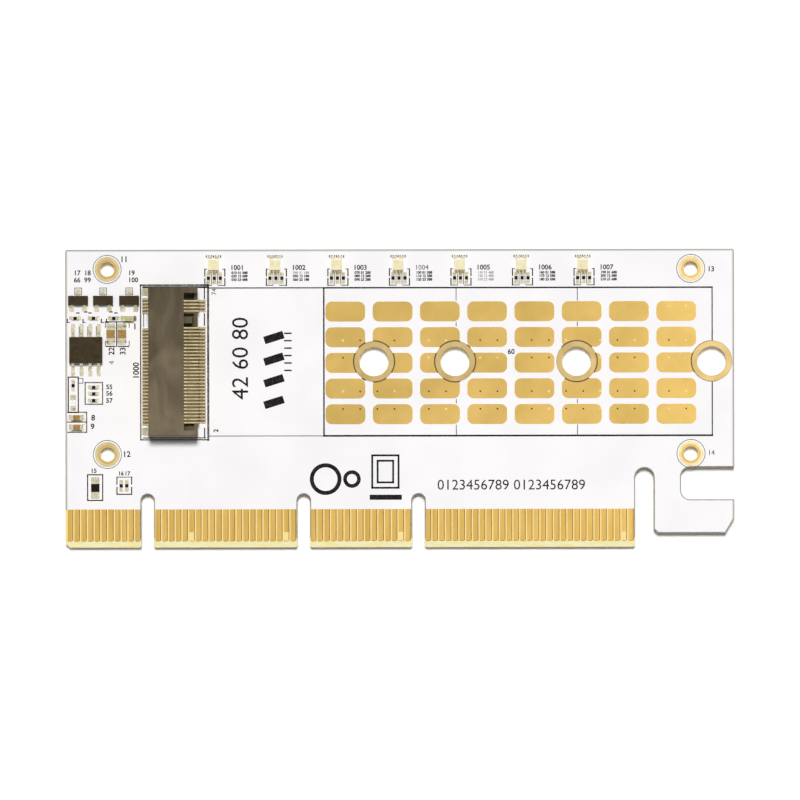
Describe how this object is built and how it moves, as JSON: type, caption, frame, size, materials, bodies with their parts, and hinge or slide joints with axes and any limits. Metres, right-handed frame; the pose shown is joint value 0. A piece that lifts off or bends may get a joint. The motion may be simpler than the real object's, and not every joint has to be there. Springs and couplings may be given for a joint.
{
  "type": "nvme adapter card",
  "caption": "Bare card that carries one M.2 storage module on a x16 card edge, with cooling pads, plated standoff holes and a row of small lamps.",
  "frame": {"origin": "centre of the card's outline on its rear face", "axes": "+X along the card from the socket end to the hook end, +Y from the card edge to the lamp row, +Z out of the component side"},
  "size_m": [0.099, 0.0442, 0.0058],
  "materials": {
    "white_solder_mask": "satin white solder mask on glass-epoxy laminate",
    "gold_plating": "immersion gold on copper",
    "socket_plastic": "moulded grey-brown liquid crystal polymer",
    "contact_metal": "gold-flashed copper alloy strip",
    "tin_plating": "matt tin",
    "package_epoxy": "moulded black epoxy",
    "brown_ceramic": "fired brown ceramic",
    "pale_ceramic": "fired pale green ceramic",
    "resistor_coating": "black glass overcoat",
    "lamp_white": "white laminate",
    "lamp_resin": "pale yellow clear resin"
  },
  "bodies": {
    "root": {"circuit_board": "white_solder_mask", "edge_contacts_front": "gold_plating", "edge_contacts_rear": "gold_plating", "cooling_pads": "gold_plating", "standoff_hole_plating": "gold_plating", "heatsink_hole_plating": "gold_plating", "socket_housing": "socket_plastic", "socket_upper_contacts": "contact_metal", "socket_lower_contacts": "contact_metal", "socket_anchors": "tin_plating", "regulator_body": "package_epoxy", "regulator_leads": "tin_plating", "filter_capacitor_1_body": "brown_ceramic", "filter_capacitor_1_ends": "tin_plating", "filter_capacitor_2_body": "brown_ceramic", "filter_capacitor_2_ends": "tin_plating", "bypass_capacitor_1_body": "brown_ceramic", "bypass_capacitor_1_ends": "tin_plating", "bypass_capacitor_2_body": "brown_ceramic", "bypass_capacitor_2_ends": "tin_plating", "gate_capacitor_body": "pale_ceramic", "gate_capacitor_ends": "tin_plating", "zero_ohm_link_body": "resistor_coating", "zero_ohm_link_ends": "tin_plating", "indicator_lamp_body": "lamp_white", "indicator_lamp_ends": "tin_plating", "resistor_bodies": "resistor_coating", "resistor_ends": "tin_plating", "lamp_resistor_ends": "tin_plating", "transistor_1_body": "package_epoxy", "transistor_1_leads": "tin_plating", "transistor_2_body": "package_epoxy", "transistor_2_leads": "tin_plating", "transistor_3_body": "package_epoxy", "transistor_3_leads": "tin_plating", "lamp_1_base": "lamp_white", "lamp_1_lens": "lamp_resin", "lamp_1_resistors": "resistor_coating", "lamp_2_base": "lamp_white", "lamp_2_lens": "lamp_resin", "lamp_2_resistors": "resistor_coating", "lamp_3_base": "lamp_white", "lamp_3_lens": "lamp_resin", "lamp_3_resistors": "resistor_coating", "lamp_4_base": "lamp_white", "lamp_4_lens": "lamp_resin", "lamp_4_resistors": "resistor_coating", "lamp_5_base": "lamp_white", "lamp_5_lens": "lamp_resin", "lamp_5_resistors": "resistor_coating", "lamp_6_base": "lamp_white", "lamp_6_lens": "lamp_resin", "lamp_6_resistors": "resistor_coating", "lamp_7_base": "lamp_white", "lamp_7_lens": "lamp_resin", "lamp_7_resistors": "resistor_coating"}
  },
  "joints": []
}
